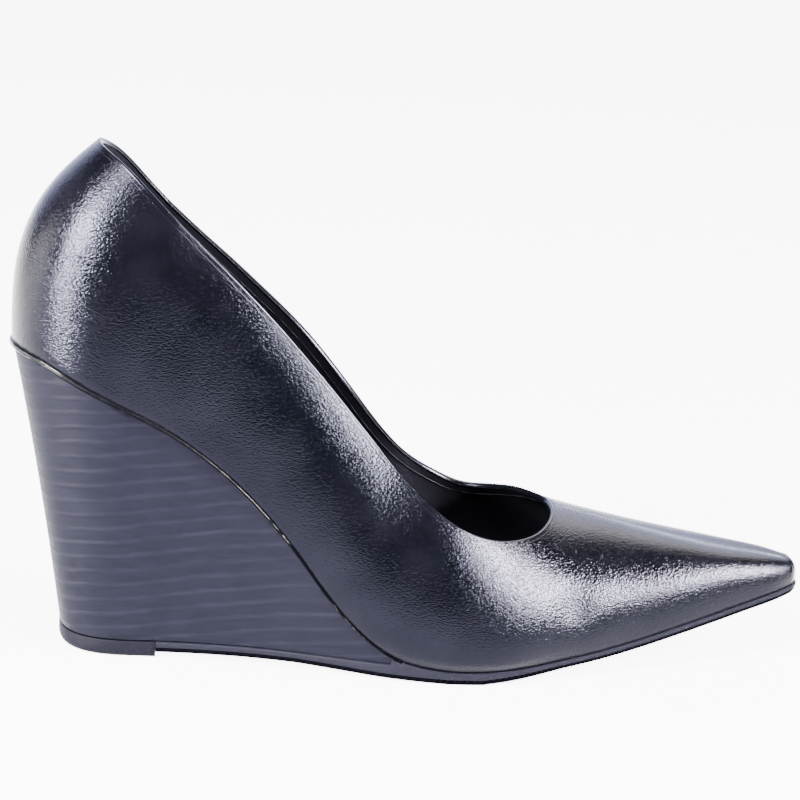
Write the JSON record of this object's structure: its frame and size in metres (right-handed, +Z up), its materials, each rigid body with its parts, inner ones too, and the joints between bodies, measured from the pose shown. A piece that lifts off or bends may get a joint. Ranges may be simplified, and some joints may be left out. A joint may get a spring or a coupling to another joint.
{
  "type": "wedge pump",
  "caption": "Women's closed pointed-toe pump for the right foot: low-cut folded topline, full covered wedge heel and thin ribbed rubber sole.",
  "frame": {"origin": "centre of the heel lift's underside, on the floor", "axes": "+X to the toe, +Y to the medial side, +Z up"},
  "size_m": [0.2356, 0.0803, 0.1422],
  "materials": {
    "upper_leather": "smooth semi-gloss with a fine pebble grain",
    "sock_lining": "matte",
    "midsole_edge": "glossy edge",
    "wedge_cover": "matte cover with thin stacked lines",
    "sole_rubber": "matte, finely ribbed edge",
    "lift_rubber": "matte"
  },
  "bodies": {
    "root": {"upper": "upper_leather", "insole": "sock_lining", "midsole": "midsole_edge", "wedge": "wedge_cover", "outsole": "sole_rubber", "heel_lift": "lift_rubber"}
  },
  "joints": []
}
